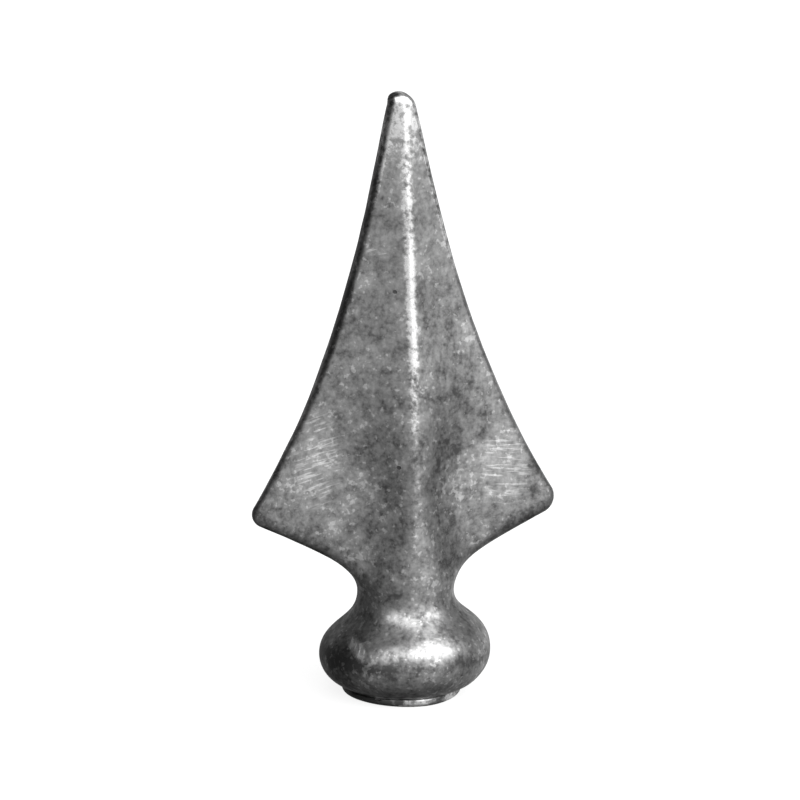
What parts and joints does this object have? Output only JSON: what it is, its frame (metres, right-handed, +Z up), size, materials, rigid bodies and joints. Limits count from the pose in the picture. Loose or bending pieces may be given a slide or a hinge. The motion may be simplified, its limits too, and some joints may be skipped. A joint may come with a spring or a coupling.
{
  "type": "fence spear point",
  "caption": "Spear point for the top of a fence bar: a two-sided ridged blade with barbs on a round neck, a flattened ball and a short round foot.",
  "frame": {"origin": "on the foot's flat underside, on the blade's centre plane and midway between the barbs", "axes": "+Z up along the spear to its tip, X across the blade from barb to barb, -Y out of the front face"},
  "size_m": [0.0768, 0.0428, 0.15],
  "materials": {
    "raw_steel": "raw forged steel, satin, mottled grey with fine pits and short grinding scratches"
  },
  "bodies": {
    "root": {"spear_point": "raw_steel"}
  },
  "joints": []
}
